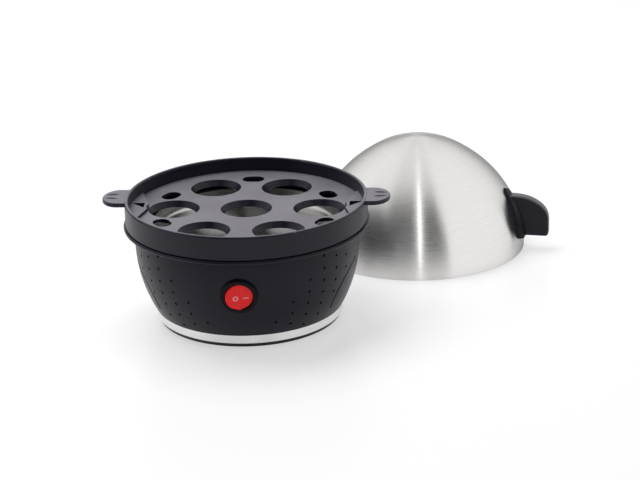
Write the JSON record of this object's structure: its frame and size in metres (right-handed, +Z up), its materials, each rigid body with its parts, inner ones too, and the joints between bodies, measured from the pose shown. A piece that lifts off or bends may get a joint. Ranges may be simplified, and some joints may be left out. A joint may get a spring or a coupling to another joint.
{
  "type": "electric egg cooker",
  "caption": "Round electric egg cooker: tapered dark base with a rocker switch, lift-off egg tray with side ears, and a brushed steel dome lid with a side handle standing beside it.",
  "frame": {"origin": "on the base's axis at the table it stands on", "axes": "+Z up, -Y out of the front with the switch, X along the tray's ears; the lid stands at +X +Y"},
  "size_m": [0.3008, 0.2923, 0.085],
  "materials": {
    "dark_plastic": "satin moulded",
    "tray_plastic": "satin moulded",
    "steel": "brushed",
    "black_plastic": "matt moulded",
    "rubber": "matt",
    "silicone": "matt",
    "pan_steel": "satin",
    "zinc": "zinc plated",
    "aluminium": "as cast",
    "brass": "bright",
    "switch_black": "glossy",
    "rocker_red": "glossy",
    "ceramic": "matt",
    "block_white": "matt",
    "lead_brown": "sleeved",
    "lead_blue": "sleeved",
    "lead_earth": "sleeved"
  },
  "bodies": {
    "base": {"base_housing": "dark_plastic", "trim_band": "steel", "bottom_plate": "black_plastic", "foot_ring": "rubber", "plate_screws": "zinc", "heating_pan": "pan_steel", "pan_seal": "silicone", "pan_nuts": "zinc", "heat_spreader": "aluminium", "heating_element": "zinc", "thermostat_cap": "aluminium", "thermostat_blades": "brass", "thermostat_body": "ceramic", "thermostat_strap": "zinc", "strap_screws": "zinc", "earth_tag": "brass", "earth_screw": "zinc", "switch_blades": "brass", "switch_body": "switch_black", "cord_gland": "black_plastic", "terminal_block": "block_white", "terminal_screws": "brass", "lead_line": "lead_brown", "lead_switched": "lead_brown", "lead_thermostat": "lead_brown", "lead_fuse": "lead_blue", "thermal_fuse": "ceramic", "lead_neutral": "lead_blue", "lead_earth": "lead_earth"},
    "egg_tray": {"egg_tray": "tray_plastic"},
    "lid": {"lid_shell": "steel", "handle_pad": "rubber", "lid_handle": "black_plastic", "handle_backing": "zinc", "handle_screws": "zinc"},
    "rocker": {"switch_rocker": "rocker_red"}
  },
  "joints": [
    {"name": "tray_lift", "type": "slide", "parent": "base", "child": "egg_tray", "axis": [0, 0, 1], "range_m": [0, 0.1]},
    {"name": "lid_lift", "type": "slide", "parent": "base", "child": "lid", "axis": [0, 0, 1], "range_m": [0, 0.12]},
    {"name": "rocker_tilt", "type": "hinge", "parent": "base", "child": "rocker", "pos_m": [0, -0.07355, 0.04249], "axis": [0, 0.1467, -0.9892], "range_deg": [0, 22]}
  ]
}
